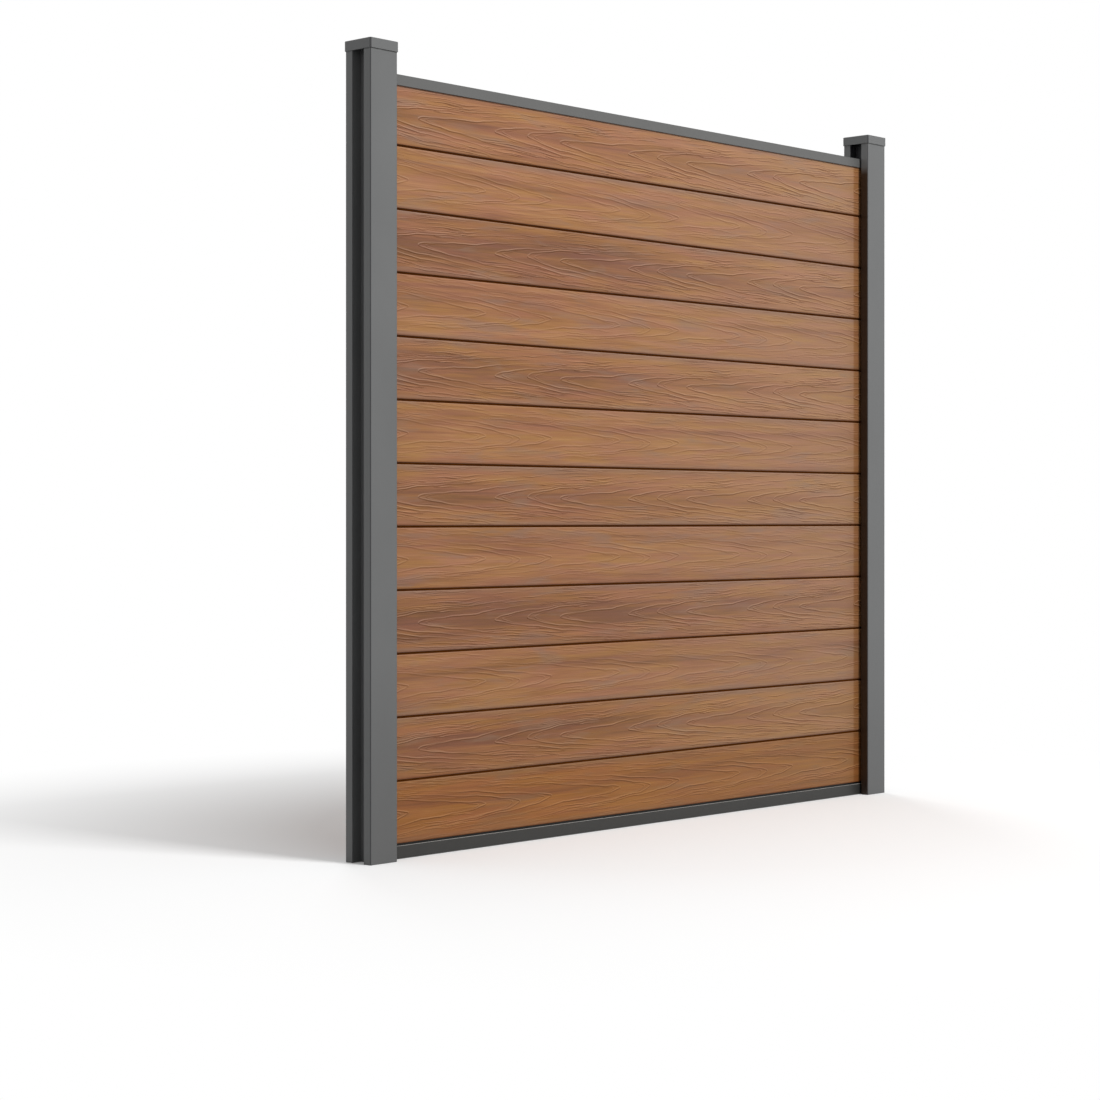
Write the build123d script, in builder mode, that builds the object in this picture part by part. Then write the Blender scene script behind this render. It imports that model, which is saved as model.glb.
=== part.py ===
from build123d import *
import os

# Fence panel: slotted posts, rails and a stack of tongue-and-groove boards.
# Millimetres, X along the panel, front towards -Y, Z up, origin on the ground midway between the posts.

os.makedirs("parts", exist_ok=True)

# Boards
board_count = 12
board_length = 1800.0
board_entry = 20.0
board_thickness = 20.0
board_pitch = 140.0
shadow_gap = 4.0
tongue_thickness = 7.0
tongue_height = 12.0
tongue_lead = 1.2
face_round = 1.2
board_wall = 4.5
cell_count = 4
cell_web = 5.0
cell_bevel = 1.5

# Posts
post_side = 80.0
post_wall = 2.0
post_round = 2.5
slot_width = 36.0
slot_depth = 26.0
lip_round = 0.9
post_above_rail = 60.0
channel_bore = 5.0
channel_wall = 2.0
channel_slit = 2.2

# Caps
cap_height = 22.5
cap_wall = 2.0
cap_plate = 3.0
cap_edge_round = 1.4
tab_thickness = 2.0
tab_length = 30.0
tab_margin = 4.0

# Rails
rail_wall = 2.0
rail_round = 0.9
bottom_rail_height = 29.0
top_rail_lap = 6.0
tongue_space = 4.0
fin_thickness = 1.6

# Board guides
guide_web = 2.0
guide_wall = 1.5
guide_setback = 11.0

# Clearances
tongue_fit = 0.3
rail_fit = 0.5
cap_fit = 0.25
tab_fit = 0.3
guide_fit = 0.25
board_fit = 0.3
guide_top_gap = 0.6

# Heights and widths that follow
face_height = board_pitch - shadow_gap
groove_depth = tongue_height - shadow_gap
groove_width = tongue_thickness + 2 * tongue_fit
shoulder_top = bottom_rail_height + board_count * board_pitch
rail_width = board_thickness + 2 * (rail_fit + rail_wall)
top_rail_base = shoulder_top - top_rail_lap
top_rail_top = shoulder_top + tongue_height + tongue_space + rail_wall
post_height = top_rail_top + post_above_rail
clear_span = board_length - 2 * board_entry
post_x = (clear_span + post_side) / 2
half_post = post_side / 2
half_board = board_thickness / 2
half_tongue = tongue_thickness / 2


# Posts: one folded wall round a single hollow, with open screw channels in its corners
channel_outer = channel_bore / 2 + channel_wall
channel_place = half_post - post_wall - channel_bore / 2 - channel_wall / 2

for name, x in (("post_left", -post_x), ("post_right", post_x)):
    with BuildPart() as post:
        with BuildSketch(Plane((x, 0, 0))) as section:
            RectangleRounded(post_side, post_side, post_round)
            with Locations((-half_post, 0)):
                Rectangle(slot_depth, slot_width, align=(Align.MIN, Align.CENTER), mode=Mode.SUBTRACT)
            with Locations((half_post, 0)):
                Rectangle(slot_depth, slot_width, align=(Align.MAX, Align.CENTER), mode=Mode.SUBTRACT)
            offset(amount=-post_wall, kind=Kind.INTERSECTION, mode=Mode.SUBTRACT)
            mouth = [
                corner
                for corner in section.vertices()
                if abs(abs(corner.X) - half_post) < 1e-4 and abs(abs(corner.Y) - slot_width / 2) < 1e-4
            ]
            fillet(mouth, lip_round)
            for turn in (45, 135, 225, 315):
                with PolarLocations(2**0.5 * channel_place, 1, start_angle=turn):
                    Circle(channel_outer)
                    Rectangle(
                        channel_outer + post_wall / 2, channel_wall, align=(Align.MIN, Align.CENTER)
                    )
                    Circle(channel_bore / 2, mode=Mode.SUBTRACT)
                    Rectangle(
                        channel_outer + 1, channel_slit, align=(Align.MAX, Align.CENTER), mode=Mode.SUBTRACT
                    )
        extrude(amount=post_height)
    post.part.label = name
    export_step(post.part, f"parts/{name}.step")


# Caps: a flat plate with a skirt outside the post and two tabs inside its middle hollow
cap_inner = post_side + 2 * cap_fit
cap_outer = cap_inner + 2 * cap_wall
cap_top = post_height + cap_plate
tab_y = half_post - post_wall - tab_fit - tab_thickness / 2
tab_width = post_side - 2 * (slot_depth + post_wall + tab_margin)

for name, x in (("post_cap_left", -post_x), ("post_cap_right", post_x)):
    with BuildPart() as cap:
        with BuildSketch(Plane((x, 0, cap_top - cap_height))):
            RectangleRounded(cap_outer, cap_outer, post_round + cap_wall)
        extrude(amount=cap_height)
        fillet(cap.faces().sort_by(Axis.Z)[-1].edges(), cap_edge_round)
        chamfer(cap.faces().sort_by(Axis.Z)[0].edges(), cap_wall / 4)
        with BuildSketch(Plane((x, 0, post_height))):
            RectangleRounded(cap_inner, cap_inner, post_round)
        extrude(amount=-cap_height, mode=Mode.SUBTRACT)
        with BuildSketch(Plane((x, 0, post_height))):
            with Locations((0, -tab_y), (0, tab_y)):
                Rectangle(tab_width, tab_thickness)
        extrude(amount=-tab_length)
        chamfer(cap.faces().sort_by(Axis.Z)[:2].edges().filter_by(Axis.X), tab_thickness / 4)
    cap.part.label = name
    export_step(cap.part, f"parts/{name}.step")


# Bottom rail: a box that lies on the ground, with an upstand shaped like a board's tongue
with BuildPart() as bottom_rail:
    with BuildSketch(Plane.YZ.offset(-board_length / 2)) as section:
        with BuildLine():
            half = Polyline(
                (0, 0),
                (rail_width / 2, 0),
                (rail_width / 2, bottom_rail_height),
                (half_tongue, bottom_rail_height),
                (half_tongue, bottom_rail_height + tongue_height - tongue_lead),
                (half_tongue - tongue_lead, bottom_rail_height + tongue_height),
                (0, bottom_rail_height + tongue_height),
            )
            mirror(half, about=Plane.YZ)
        make_face()
        offset(amount=-rail_wall, kind=Kind.INTERSECTION, mode=Mode.SUBTRACT)
        edges_out = [corner for corner in section.vertices() if abs(abs(corner.X) - rail_width / 2) < 1e-4]
        fillet(edges_out, rail_round)
    extrude(amount=board_length)
bottom_rail.part.label = "bottom_rail"
export_step(bottom_rail.part, "parts/bottom_rail.step")


# Top rail: legs lap the board's faces, fins straddle its tongue and rest on its shoulders
fin_y = half_tongue + tongue_fit + fin_thickness / 2

with BuildPart() as top_rail:
    with BuildSketch(Plane.YZ.offset(-board_length / 2)) as section:
        with Locations((0, top_rail_base)):
            Rectangle(rail_width, top_rail_top - top_rail_base, align=(Align.CENTER, Align.MIN))
            Rectangle(
                rail_width - 2 * rail_wall,
                top_rail_top - top_rail_base - rail_wall,
                align=(Align.CENTER, Align.MIN),
                mode=Mode.SUBTRACT,
            )
        edges_out = [corner for corner in section.vertices() if abs(abs(corner.X) - rail_width / 2) < 1e-4]
        fillet(edges_out, rail_round)
        with Locations((-fin_y, top_rail_top - rail_wall), (fin_y, top_rail_top - rail_wall)):
            Rectangle(
                fin_thickness, top_rail_top - rail_wall - shoulder_top, align=(Align.CENTER, Align.MAX)
            )
    extrude(amount=board_length)
top_rail.part.label = "top_rail"
export_step(top_rail.part, "parts/top_rail.step")


# Boards: tongue up, groove down, a row of hollow cells between the two faces
cells_base = groove_depth + cell_web
cell_pitch = (face_height - cells_base) / cell_count
cell_height = cell_pitch - cell_web
cell_depth = board_thickness - 2 * board_wall

for index in range(board_count):
    base = bottom_rail_height + shadow_gap + index * board_pitch
    with BuildPart() as board:
        with BuildSketch(Plane.YZ.offset(-board_length / 2)) as section:
            with BuildLine():
                half = Polyline(
                    (0, base + groove_depth),
                    (groove_width / 2, base + groove_depth),
                    (groove_width / 2, base),
                    (half_board, base),
                    (half_board, base + face_height),
                    (half_tongue, base + face_height),
                    (half_tongue, base + face_height + tongue_height - tongue_lead),
                    (half_tongue - tongue_lead, base + face_height + tongue_height),
                    (0, base + face_height + tongue_height),
                )
                mirror(half, about=Plane.YZ)
            make_face()
            face_ends = [corner for corner in section.vertices() if abs(abs(corner.X) - half_board) < 1e-4]
            fillet(face_ends, face_round)
            groove_mouth = [
                corner
                for corner in section.vertices()
                if abs(abs(corner.X) - groove_width / 2) < 1e-4 and abs(corner.Y - base) < 1e-4
            ]
            chamfer(groove_mouth, tongue_lead)
        extrude(amount=board_length)
        with BuildSketch(Plane.YZ.offset(-board_length / 2)) as cells:
            for cell in range(cell_count):
                with Locations((0, base + cells_base + cell * cell_pitch)):
                    Rectangle(cell_depth, cell_height, align=(Align.CENTER, Align.MIN))
            chamfer(cells.vertices(), cell_bevel)
        extrude(amount=board_length, mode=Mode.SUBTRACT)
    label = f"board_{index + 1:02d}"
    board.part.label = label
    export_step(board.part, f"parts/{label}.step")


# Board guides: a channel deep in each used slot, standing on the bottom rail
guide_width = slot_width - 2 * guide_fit
guide_gap = board_thickness + 2 * board_fit
guide_leg = (guide_width - guide_gap) / 2
guide_depth = slot_depth - guide_setback - guide_fit
guide_height = top_rail_base - guide_top_gap - bottom_rail_height
leg_y = (guide_width - guide_leg) / 2

for name, side in (("board_guide_left", -1), ("board_guide_right", 1)):
    slot_floor = side * (clear_span / 2 + slot_depth - guide_fit)
    along = Align.MIN if side < 0 else Align.MAX
    with BuildPart() as guide:
        with BuildSketch(Plane((slot_floor, 0, bottom_rail_height))):
            Rectangle(guide_depth, guide_width, align=(along, Align.CENTER))
            with Locations((-side * guide_web, 0)):
                Rectangle(guide_depth, guide_gap, align=(along, Align.CENTER), mode=Mode.SUBTRACT)
            with Locations((-side * guide_web, -leg_y), (-side * guide_web, leg_y)):
                Rectangle(
                    guide_depth - guide_web - guide_wall,
                    guide_leg - 2 * guide_wall,
                    align=(along, Align.CENTER),
                    mode=Mode.SUBTRACT,
                )
        extrude(amount=guide_height)
    guide.part.label = name
    export_step(guide.part, f"parts/{name}.step")
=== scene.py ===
"""Dressed fence panel: embossed composite boards between coated slotted posts, caps and rails."""

import logging
import math
import random
from dataclasses import dataclass, replace
from enum import Enum

import bpy
import numpy as np
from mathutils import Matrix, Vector, geometry


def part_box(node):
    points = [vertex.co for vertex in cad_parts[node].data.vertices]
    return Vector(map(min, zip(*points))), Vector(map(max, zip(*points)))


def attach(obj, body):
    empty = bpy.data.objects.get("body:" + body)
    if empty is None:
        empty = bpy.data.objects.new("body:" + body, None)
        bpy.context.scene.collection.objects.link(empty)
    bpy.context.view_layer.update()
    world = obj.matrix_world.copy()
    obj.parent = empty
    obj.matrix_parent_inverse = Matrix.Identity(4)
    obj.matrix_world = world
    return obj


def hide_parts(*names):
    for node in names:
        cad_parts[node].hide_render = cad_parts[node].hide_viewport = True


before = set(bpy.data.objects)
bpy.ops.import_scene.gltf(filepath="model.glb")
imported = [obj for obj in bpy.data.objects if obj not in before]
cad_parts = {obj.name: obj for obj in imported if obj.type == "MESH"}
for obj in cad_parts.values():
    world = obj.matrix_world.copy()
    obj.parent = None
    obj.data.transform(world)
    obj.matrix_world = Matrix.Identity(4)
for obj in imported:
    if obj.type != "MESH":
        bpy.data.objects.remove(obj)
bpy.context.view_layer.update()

ROOT_BODY = "root"
# Vertex attribute that makes the boards pale or dark: rubbing and dirt in the grain, with painted highlight
# and shade on ridges, edge roundings and joints.
WEAR_AND_LIGHT = "wear_and_light"
# Its level where painted shade fills the joints between boards.
SEAM_SHADE = -2.0
FACE_FINISH = 0
CORE_FINISH = 1
LOG = logging.getLogger("fence_panel")

Colour = tuple[float, float, float, float]
Triple = tuple[float, float, float]
Span = tuple[float, float]
Socket = bpy.types.NodeSocket

STILL: Triple = (0.0, 0.0, 0.0)
WHITE: Colour = (1.0, 1.0, 1.0, 1.0)
BLACK: Colour = (0.0, 0.0, 0.0, 1.0)
SHARE: Span = (0.0, 1.0)
NOISE_SPAN: Span = (0.3, 0.7)
WIDE_SPAN: Span = (0.25, 0.75)


@dataclass(frozen=True)
class Noise:
    """A stretched noise.

    Attributes:
        scale: How many times it repeats per metre along X, Y and Z.
        detail: Number of finer layers.
        rough: Weight of the finer layers.
        bend: How far it warps itself.
    """

    scale: Triple
    detail: float
    rough: float
    bend: float = 0.0


@dataclass(frozen=True)
class Relief:
    """How a noise dents a surface.

    Attributes:
        depth: The metres that a height of 1 stands for.
        strength: How much of it shows.
    """

    depth: float
    strength: float


class ShaderGraph:
    """Adds and joins the nodes of one shader tree.

    Attributes:
        mix_factor, mix_below, mix_above: Inputs of a Mix node that mixes colours.
        mix_result: Its output.
    """

    mix_factor: int = 0
    mix_below: int = 6
    mix_above: int = 7
    mix_result: int = 2

    def __init__(self, tree: bpy.types.NodeTree) -> None:
        """Takes a tree and empties it.

        Args:
            tree: The node tree of a material or a world.
        """
        self.tree = tree
        self.tree.nodes.clear()

    def add(self, kind: str, **settings: object) -> bpy.types.Node:
        """Adds a node.

        Args:
            kind: Blender's name of the node type.
            settings: Properties to set on the node.

        Returns:
            The new node.
        """
        node = self.tree.nodes.new(kind)
        for name, value in settings.items():
            setattr(node, name, value)
        return node

    def join(self, source: Socket, target: Socket) -> None:
        """Links an output to an input."""
        self.tree.links.new(source, target)

    def place(self, scale: Triple, shift: Triple) -> Socket:
        """Reads object coordinates, stretched and moved.

        Args:
            scale: How many times the pattern repeats per metre along X, Y and Z.
            shift: Moves the pattern, so that pieces differ.

        Returns:
            The vector output.
        """
        coordinates = self.add("ShaderNodeTexCoord")
        mapping = self.add("ShaderNodeMapping")
        mapping.inputs["Location"].default_value = shift
        mapping.inputs["Scale"].default_value = scale
        self.join(coordinates.outputs["Object"], mapping.inputs["Vector"])
        return mapping.outputs["Vector"]

    def noise(self, noise: Noise, shift: Triple = STILL) -> Socket:
        """Adds a stretched noise.

        Args:
            noise: Its form.
            shift: Moves it, so that pieces differ.

        Returns:
            The factor output.
        """
        node = self.add("ShaderNodeTexNoise")
        node.inputs["Scale"].default_value = 1.0
        node.inputs["Detail"].default_value = noise.detail
        node.inputs["Roughness"].default_value = noise.rough
        node.inputs["Distortion"].default_value = noise.bend
        self.join(self.place(noise.scale, shift), node.inputs["Vector"])
        return node.outputs["Fac"]

    def ramp(self, factor: Socket, stops: list[tuple[float, Colour]]) -> Socket:
        """Looks a factor up in a row of colours.

        Args:
            factor: The output that is looked up.
            stops: Positions with their colours, in rising order.

        Returns:
            The colour output.
        """
        node = self.add("ShaderNodeValToRGB")
        band = node.color_ramp
        band.elements[0].position, band.elements[0].color = stops[0]
        band.elements[1].position, band.elements[1].color = stops[-1]
        for position, colour in stops[1:-1]:
            band.elements.new(position).color = colour
        self.join(factor, node.inputs["Fac"])
        return node.outputs["Color"]

    def remap(self, value: Socket, read: Span, give: Span) -> Socket:
        """Maps a range of a value to another range, clamped.

        Args:
            value: The output that is mapped.
            read: Start and end of the range that is read.
            give: What the start and the end become.

        Returns:
            The mapped output.
        """
        node = self.add("ShaderNodeMapRange")
        node.inputs["From Min"].default_value = read[0]
        node.inputs["From Max"].default_value = read[1]
        node.inputs["To Min"].default_value = give[0]
        node.inputs["To Max"].default_value = give[1]
        self.join(value, node.inputs["Value"])
        return node.outputs["Result"]

    def combine(self, operation: str, first: Socket, second: Socket | float) -> Socket:
        """Works out one number from two.

        Args:
            operation: Blender's name of the sum.
            first: The first number.
            second: The second number, an output or a fixed value.

        Returns:
            The result output.
        """
        node = self.add("ShaderNodeMath", operation=operation)
        self.join(first, node.inputs[0])
        if isinstance(second, float):
            node.inputs[1].default_value = second
        else:
            self.join(second, node.inputs[1])
        return node.outputs["Value"]

    def axis(self, name: str) -> Socket:
        """Reads one object coordinate.

        Args:
            name: X, Y or Z.

        Returns:
            The coordinate in metres.
        """
        coordinates = self.add("ShaderNodeTexCoord")
        parts = self.add("ShaderNodeSeparateXYZ")
        self.join(coordinates.outputs["Object"], parts.inputs["Vector"])
        return parts.outputs[name]

    def span(self, name: str) -> Socket:
        """Reads how far a place lies from the middle along one axis."""
        return self.combine("ABSOLUTE", self.axis(name), 0.0)

    def squareness(self) -> Socket:
        """Reads the largest part of the surface's direction: 1 on flat faces, less on rounded edges.

        Returns:
            The value output.
        """
        coordinates = self.add("ShaderNodeTexCoord")
        size = self.add("ShaderNodeVectorMath", operation="ABSOLUTE")
        parts = self.add("ShaderNodeSeparateXYZ")
        self.join(coordinates.outputs["Normal"], size.inputs[0])
        self.join(size.outputs["Vector"], parts.inputs["Vector"])
        level = self.combine("MAXIMUM", parts.outputs["X"], parts.outputs["Y"])
        return self.combine("MAXIMUM", level, parts.outputs["Z"])

    def tinted(self, colour: Socket, tint: Socket | Triple) -> Socket:
        """Multiplies a colour by a tint.

        Args:
            colour: The colour.
            tint: The tint, an output or a fixed one.

        Returns:
            The colour output.
        """
        node = self.add("ShaderNodeVectorMath", operation="MULTIPLY")
        self.join(colour, node.inputs[0])
        if isinstance(tint, tuple):
            node.inputs[1].default_value = tint
        else:
            self.join(tint, node.inputs[1])
        return node.outputs["Vector"]

    def shade(self, colour: Socket, level: Socket) -> Socket:
        """Multiplies a colour by a level.

        Args:
            colour: The colour.
            level: The level.

        Returns:
            The colour output.
        """
        node = self.add("ShaderNodeVectorMath", operation="SCALE")
        self.join(colour, node.inputs["Vector"])
        self.join(level, node.inputs["Scale"])
        return node.outputs["Vector"]

    def cover(self, factor: Socket, base: Socket, top: Colour) -> Socket:
        """Lays a fixed colour over a colour.

        Args:
            factor: How much of the top shows.
            base: The colour below.
            top: The colour above.

        Returns:
            The colour output.
        """
        node = self.add("ShaderNodeMix", data_type="RGBA")
        self.join(factor, node.inputs[self.mix_factor])
        self.join(base, node.inputs[self.mix_below])
        node.inputs[self.mix_above].default_value = top
        return node.outputs[self.mix_result]

    def bump(self, height: Socket, relief: Relief, over: Socket | None = None) -> Socket:
        """Bends the normal by a height.

        Args:
            height: The height, 0 to 1.
            relief: What the height stands for.
            over: The normal that is bent, or none for the mesh's own.

        Returns:
            The normal output.
        """
        node = self.add("ShaderNodeBump")
        node.inputs["Strength"].default_value = relief.strength
        node.inputs["Distance"].default_value = relief.depth
        self.join(height, node.inputs["Height"])
        if over is not None:
            self.join(over, node.inputs["Normal"])
        return node.outputs["Normal"]

    def blend(self, factor: Socket, first: Socket, second: Socket) -> Socket:
        """Mixes two shaders.

        Args:
            factor: How much of the second shows.
            first: The first shader.
            second: The second shader.

        Returns:
            The mixed shader.
        """
        node = self.add("ShaderNodeMixShader")
        self.join(factor, node.inputs[0])
        self.join(first, node.inputs[1])
        self.join(second, node.inputs[2])
        return node.outputs["Shader"]

    def surface(self) -> bpy.types.Node:
        """Adds a Principled shader on the output.

        Returns:
            The shader node.
        """
        shader = self.add("ShaderNodeBsdfPrincipled")
        output = self.add("ShaderNodeOutputMaterial")
        self.join(shader.outputs["BSDF"], output.inputs["Surface"])
        return shader

    def seen_straight(self) -> Socket:
        """Is 1 for rays from the camera and for mirrored or refracted rays.

        Returns:
            The factor output.
        """
        path = self.add("ShaderNodeLightPath")
        mirrored = self.combine("MAXIMUM", path.outputs["Is Camera Ray"], path.outputs["Is Glossy Ray"])
        return self.combine("MAXIMUM", mirrored, path.outputs["Is Transmission Ray"])


def new_material(name: str) -> tuple[bpy.types.Material, ShaderGraph]:
    """Makes an empty node material.

    Args:
        name: The material's name.

    Returns:
        The material and the graph of its nodes.
    """
    material = bpy.data.materials.new(name)
    material.use_nodes = True
    return material, ShaderGraph(material.node_tree)


def dress(node: str, material: bpy.types.Material) -> None:
    """Gives a CAD node one finish.

    Args:
        node: The node's name.
        material: The finish.
    """
    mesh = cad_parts[node].data
    mesh.materials.clear()
    mesh.materials.append(material)
    LOG.info("%s dressed in %s", node, material.name)


class GrainRun(Enum):
    """Which way the flames of a board's grain point, seen from the front."""

    TIPS_LEFT = 1.0
    TIPS_RIGHT = -1.0


class Tone(Enum):
    """How a board came out of the mixer, or for the lowest board the painted shade near the ground: its
    shift towards pale streaks and its tint.
    """

    PALE = (0.08, (1.0, 1.0, 1.0))
    MIDDLE = (0.02, (1.0, 1.0, 0.98))
    DARK = (-0.15, (1.0, 0.99, 0.98))
    WARM = (-0.10, (1.0, 0.97, 0.85))
    # Painted shade near the ground, warm and saturated, for the lowest board.
    GROUND_SHADED = (-0.02, (0.915, 0.78, 0.51))

    @property
    def shift(self) -> float:
        """How far the streaks move towards pale."""
        return self.value[0]

    @property
    def tint(self) -> Triple:
        """What the colours are multiplied by."""
        return self.value[1]


@dataclass(frozen=True)
class BoardMake:
    """How one board was made.

    Attributes:
        run: Which way its flames point.
        tone: How pale and how warm it is.
        depth: How deep its grain is pressed, as a share of the full depth.
    """

    run: GrainRun
    tone: Tone
    depth: float


@dataclass(frozen=True)
class CompositeFinish:
    """Streaked wood-plastic composite with paler crests and dark hollows, partly painted highlight and
    shade.

    Attributes:
        umber, russet, golden, straw: Its streaks, from dark to pale.
        rosy, ochre: Tints of single patches.
        weathered: Places greyed by the haze in haze_span, and rims greyed by the drift in rim_span.
        haze_share, rim_share: How much of these shows.
        lit_side_colour: Painted light: what the face pales to towards +X along lit_side_span, by
            lit_side_share.
        end_shadow_tint: Painted shadow of the posts on the board ends, along end_shadow_span from the
            panel's middle.
        crest, furrow, seam_shade: Ridges rubbed pale with a painted highlight on their upper flanks, furrows
            darkened by dirt and painted shade, and painted shade in the joints between boards.
        crest_share, furrow_share: How much of the first two shows.
        left_zones, right_zones: Heights on the face with how pale it is there, for either grain run.
        left_lit_side, right_lit_side: Painted light: how much paler the face becomes towards +X along
            fade_span, for either grain run.
        zone_reach: How far the zones wander.
        streak_reach: How far the streaks part from their zone.
        low_edge_dark_span: Heights on the face over which its lower edge is darkened, fading out from
            low_edge_dark_share.
        fibre_shade: How dark and how light the fibres are, read over fibre_span.
        roughness: How rough the face is along and beside the fibres.
        gloss: Its specular level.
        drift, patch, haze, band, fibre, speck: Its noises, from wide to fine.
        seed_step: How far the noises move from one board to the next.
        fibre_relief, speck_relief: How two of the noises dent the face.
    """

    umber: Colour = (0.205, 0.086, 0.043, 1.0)
    russet: Colour = (0.280, 0.120, 0.053, 1.0)
    golden: Colour = (0.342, 0.151, 0.064, 1.0)
    straw: Colour = (0.400, 0.191, 0.083, 1.0)
    rosy: Colour = (1.0, 0.965, 1.150, 1.0)
    ochre: Colour = (1.0, 1.030, 0.830, 1.0)
    weathered: Colour = (0.262, 0.160, 0.116, 1.0)
    haze_span: Span = (0.54, 0.70)
    haze_share: float = 0.50
    rim_span: Span = (0.42, 0.60)
    rim_share: float = 0.85
    lit_side_colour: Colour = (0.300, 0.215, 0.165, 1.0)
    lit_side_span: Span = (-0.3, 0.9)
    lit_side_share: float = 0.30
    end_shadow_tint: Colour = (0.76, 0.62, 0.42, 1.0)
    end_shadow_span: Span = (0.854, 0.862)
    crest: Colour = (0.425, 0.252, 0.160, 1.0)
    crest_share: float = 0.50
    furrow: Colour = (0.155, 0.045, 0.006, 1.0)
    furrow_share: float = 0.62
    low_edge_dark_span: Span = (0.012, 0.044)
    low_edge_dark_share: float = 0.60
    seam_shade: Colour = (0.110, 0.040, 0.007, 1.0)
    left_zones: tuple[Span, ...] = (
        (0.0, 0.50), (0.16, 0.68), (0.42, 0.27), (0.58, 0.25), (0.76, 0.62), (1.0, 0.66)
    )
    right_zones: tuple[Span, ...] = (
        (0.0, 0.46), (0.18, 0.72), (0.52, 0.72), (0.66, 0.32), (0.80, 0.68), (1.0, 0.68)
    )
    zone_reach: float = 0.20
    streak_reach: float = 0.34
    fade_span: Span = (-0.2, 0.9)
    left_lit_side: Span = (-0.03, 0.46)
    right_lit_side: Span = (0.0, 0.04)
    fibre_span: Span = (0.28, 0.72)
    fibre_shade: Span = (0.86, 1.11)
    roughness: Span = (0.44, 0.60)
    gloss: float = 0.30
    drift: Noise = Noise((1.0, 9.0, 15.0), 2.0, 0.5, 0.4)
    patch: Noise = Noise((4.0, 20.0, 42.0), 3.0, 0.55, 0.5)
    haze: Noise = Noise((5.0, 15.0, 34.0), 3.0, 0.55, 0.5)
    band: Noise = Noise((4.0, 20.0, 85.0), 4.0, 0.6, 0.3)
    fibre: Noise = Noise((8.0, 90.0, 520.0), 3.0, 0.6)
    speck: Noise = Noise((800.0, 1100.0, 1300.0), 2.0, 0.5)
    seed_step: Triple = (1.7, 5.3, 9.1)
    fibre_relief: Relief = Relief(0.0007, 0.45)
    speck_relief: Relief = Relief(0.0003, 0.2)

    def zones(self, run: GrainRun) -> list[tuple[float, Colour]]:
        """Where a face is dark and where it is pale, from its lower to its upper edge.

        Args:
            run: Which way the flames point.

        Returns:
            Shares of the face's height with grey levels.
        """
        levels = self.left_zones if run is GrainRun.TIPS_LEFT else self.right_zones
        return [(place, (level, level, level, 1.0)) for place, level in levels]

    def streaked(
        self, graph: ShaderGraph, place: Triple, level: Socket, drift: Socket, make: BoardMake
    ) -> Socket:
        """Mixes the streaks, the patches and the haze of one board.

        Args:
            graph: The material's nodes.
            place: Moves the noises.
            level: Height on the face, 0 to 1.
            drift: The widest noise.
            make: How the board was made.

        Returns:
            The colour output.
        """
        patch = graph.noise(self.patch, place)
        haze = graph.noise(self.haze, place[::-1])
        band = graph.noise(self.band, place)
        wander = graph.remap(drift, WIDE_SPAN, (-self.zone_reach, self.zone_reach))
        zone = graph.ramp(graph.combine("ADD", level, wander), self.zones(make.run))
        reach = (make.tone.shift - self.streak_reach, make.tone.shift + self.streak_reach)
        blend = graph.combine("ADD", zone, graph.remap(band, WIDE_SPAN, reach))
        # Painted light: paler towards +X, more on boards whose flames point left.
        fade = self.left_lit_side if make.run is GrainRun.TIPS_LEFT else self.right_lit_side
        blend = graph.combine("ADD", blend, graph.remap(graph.axis("X"), self.fade_span, fade))
        colour = graph.ramp(
            blend, [(0.06, self.umber), (0.36, self.russet), (0.64, self.golden), (0.96, self.straw)]
        )
        tint = graph.ramp(patch, [(0.36, self.rosy), (0.50, WHITE), (0.64, self.ochre)])
        hazy = graph.remap(haze, self.haze_span, (0.0, self.haze_share))
        return graph.cover(hazy, graph.tinted(colour, tint), self.weathered)

    def age_and_paint_light(self, graph: ShaderGraph, colour: Socket, level: Socket, drift: Socket) -> Socket:
        """Pales a face towards +X as painted light, dulls its rims, darkens the lower edge of its face and
        paints the posts' shadow on its ends.

        Args:
            graph: The material's nodes.
            colour: The fresh colour.
            level: Height on the face, 0 to 1.
            drift: The widest noise.

        Returns:
            The colour output.
        """
        # Painted light: the face grows paler towards +X.
        pale = graph.remap(graph.axis("X"), self.lit_side_span, (0.0, self.lit_side_share))
        colour = graph.cover(pale, colour, self.lit_side_colour)
        rim = graph.ramp(level, [(0.0, WHITE), (0.10, BLACK), (0.88, BLACK), (1.0, WHITE)])
        dull = graph.combine("MULTIPLY", rim, graph.remap(drift, self.rim_span, (0.0, self.rim_share)))
        colour = graph.cover(dull, colour, self.weathered)
        # Darker along the lower edge of the face.
        low_edge_dark = graph.remap(level, self.low_edge_dark_span, (self.low_edge_dark_share, 0.0))
        colour = graph.cover(low_edge_dark, colour, self.furrow)
        # Painted shadow of the posts on both board ends.
        ends = graph.remap(graph.span("X"), self.end_shadow_span, SHARE)
        return graph.tinted(colour, graph.ramp(ends, [(0.0, WHITE), (1.0, self.end_shadow_tint)]))

    def lit_and_worn(self, graph: ShaderGraph, colour: Socket, tone: Tone) -> Socket:
        """Paints the ridges pale and the furrows and seams dark: rubbing and dirt, with painted highlight
        and painted shade.

        Args:
            graph: The material's nodes.
            colour: The colour of the plain face.
            tone: The board's tone, which tints ridges and face alike.

        Returns:
            The colour output.
        """
        wear_and_light = graph.add("ShaderNodeAttribute", attribute_name=WEAR_AND_LIGHT).outputs["Fac"]
        # Pale upper flanks of the ridges: rubbing with a painted highlight.
        colour = graph.cover(graph.remap(wear_and_light, SHARE, (0.0, self.crest_share)), colour, self.crest)
        colour = graph.tinted(colour, tone.tint)
        # Dark furrows under the ridges: dirt with painted shade.
        colour = graph.cover(graph.remap(wear_and_light, (0.0, -1.0), (0.0, self.furrow_share)), colour, self.furrow)
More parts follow.
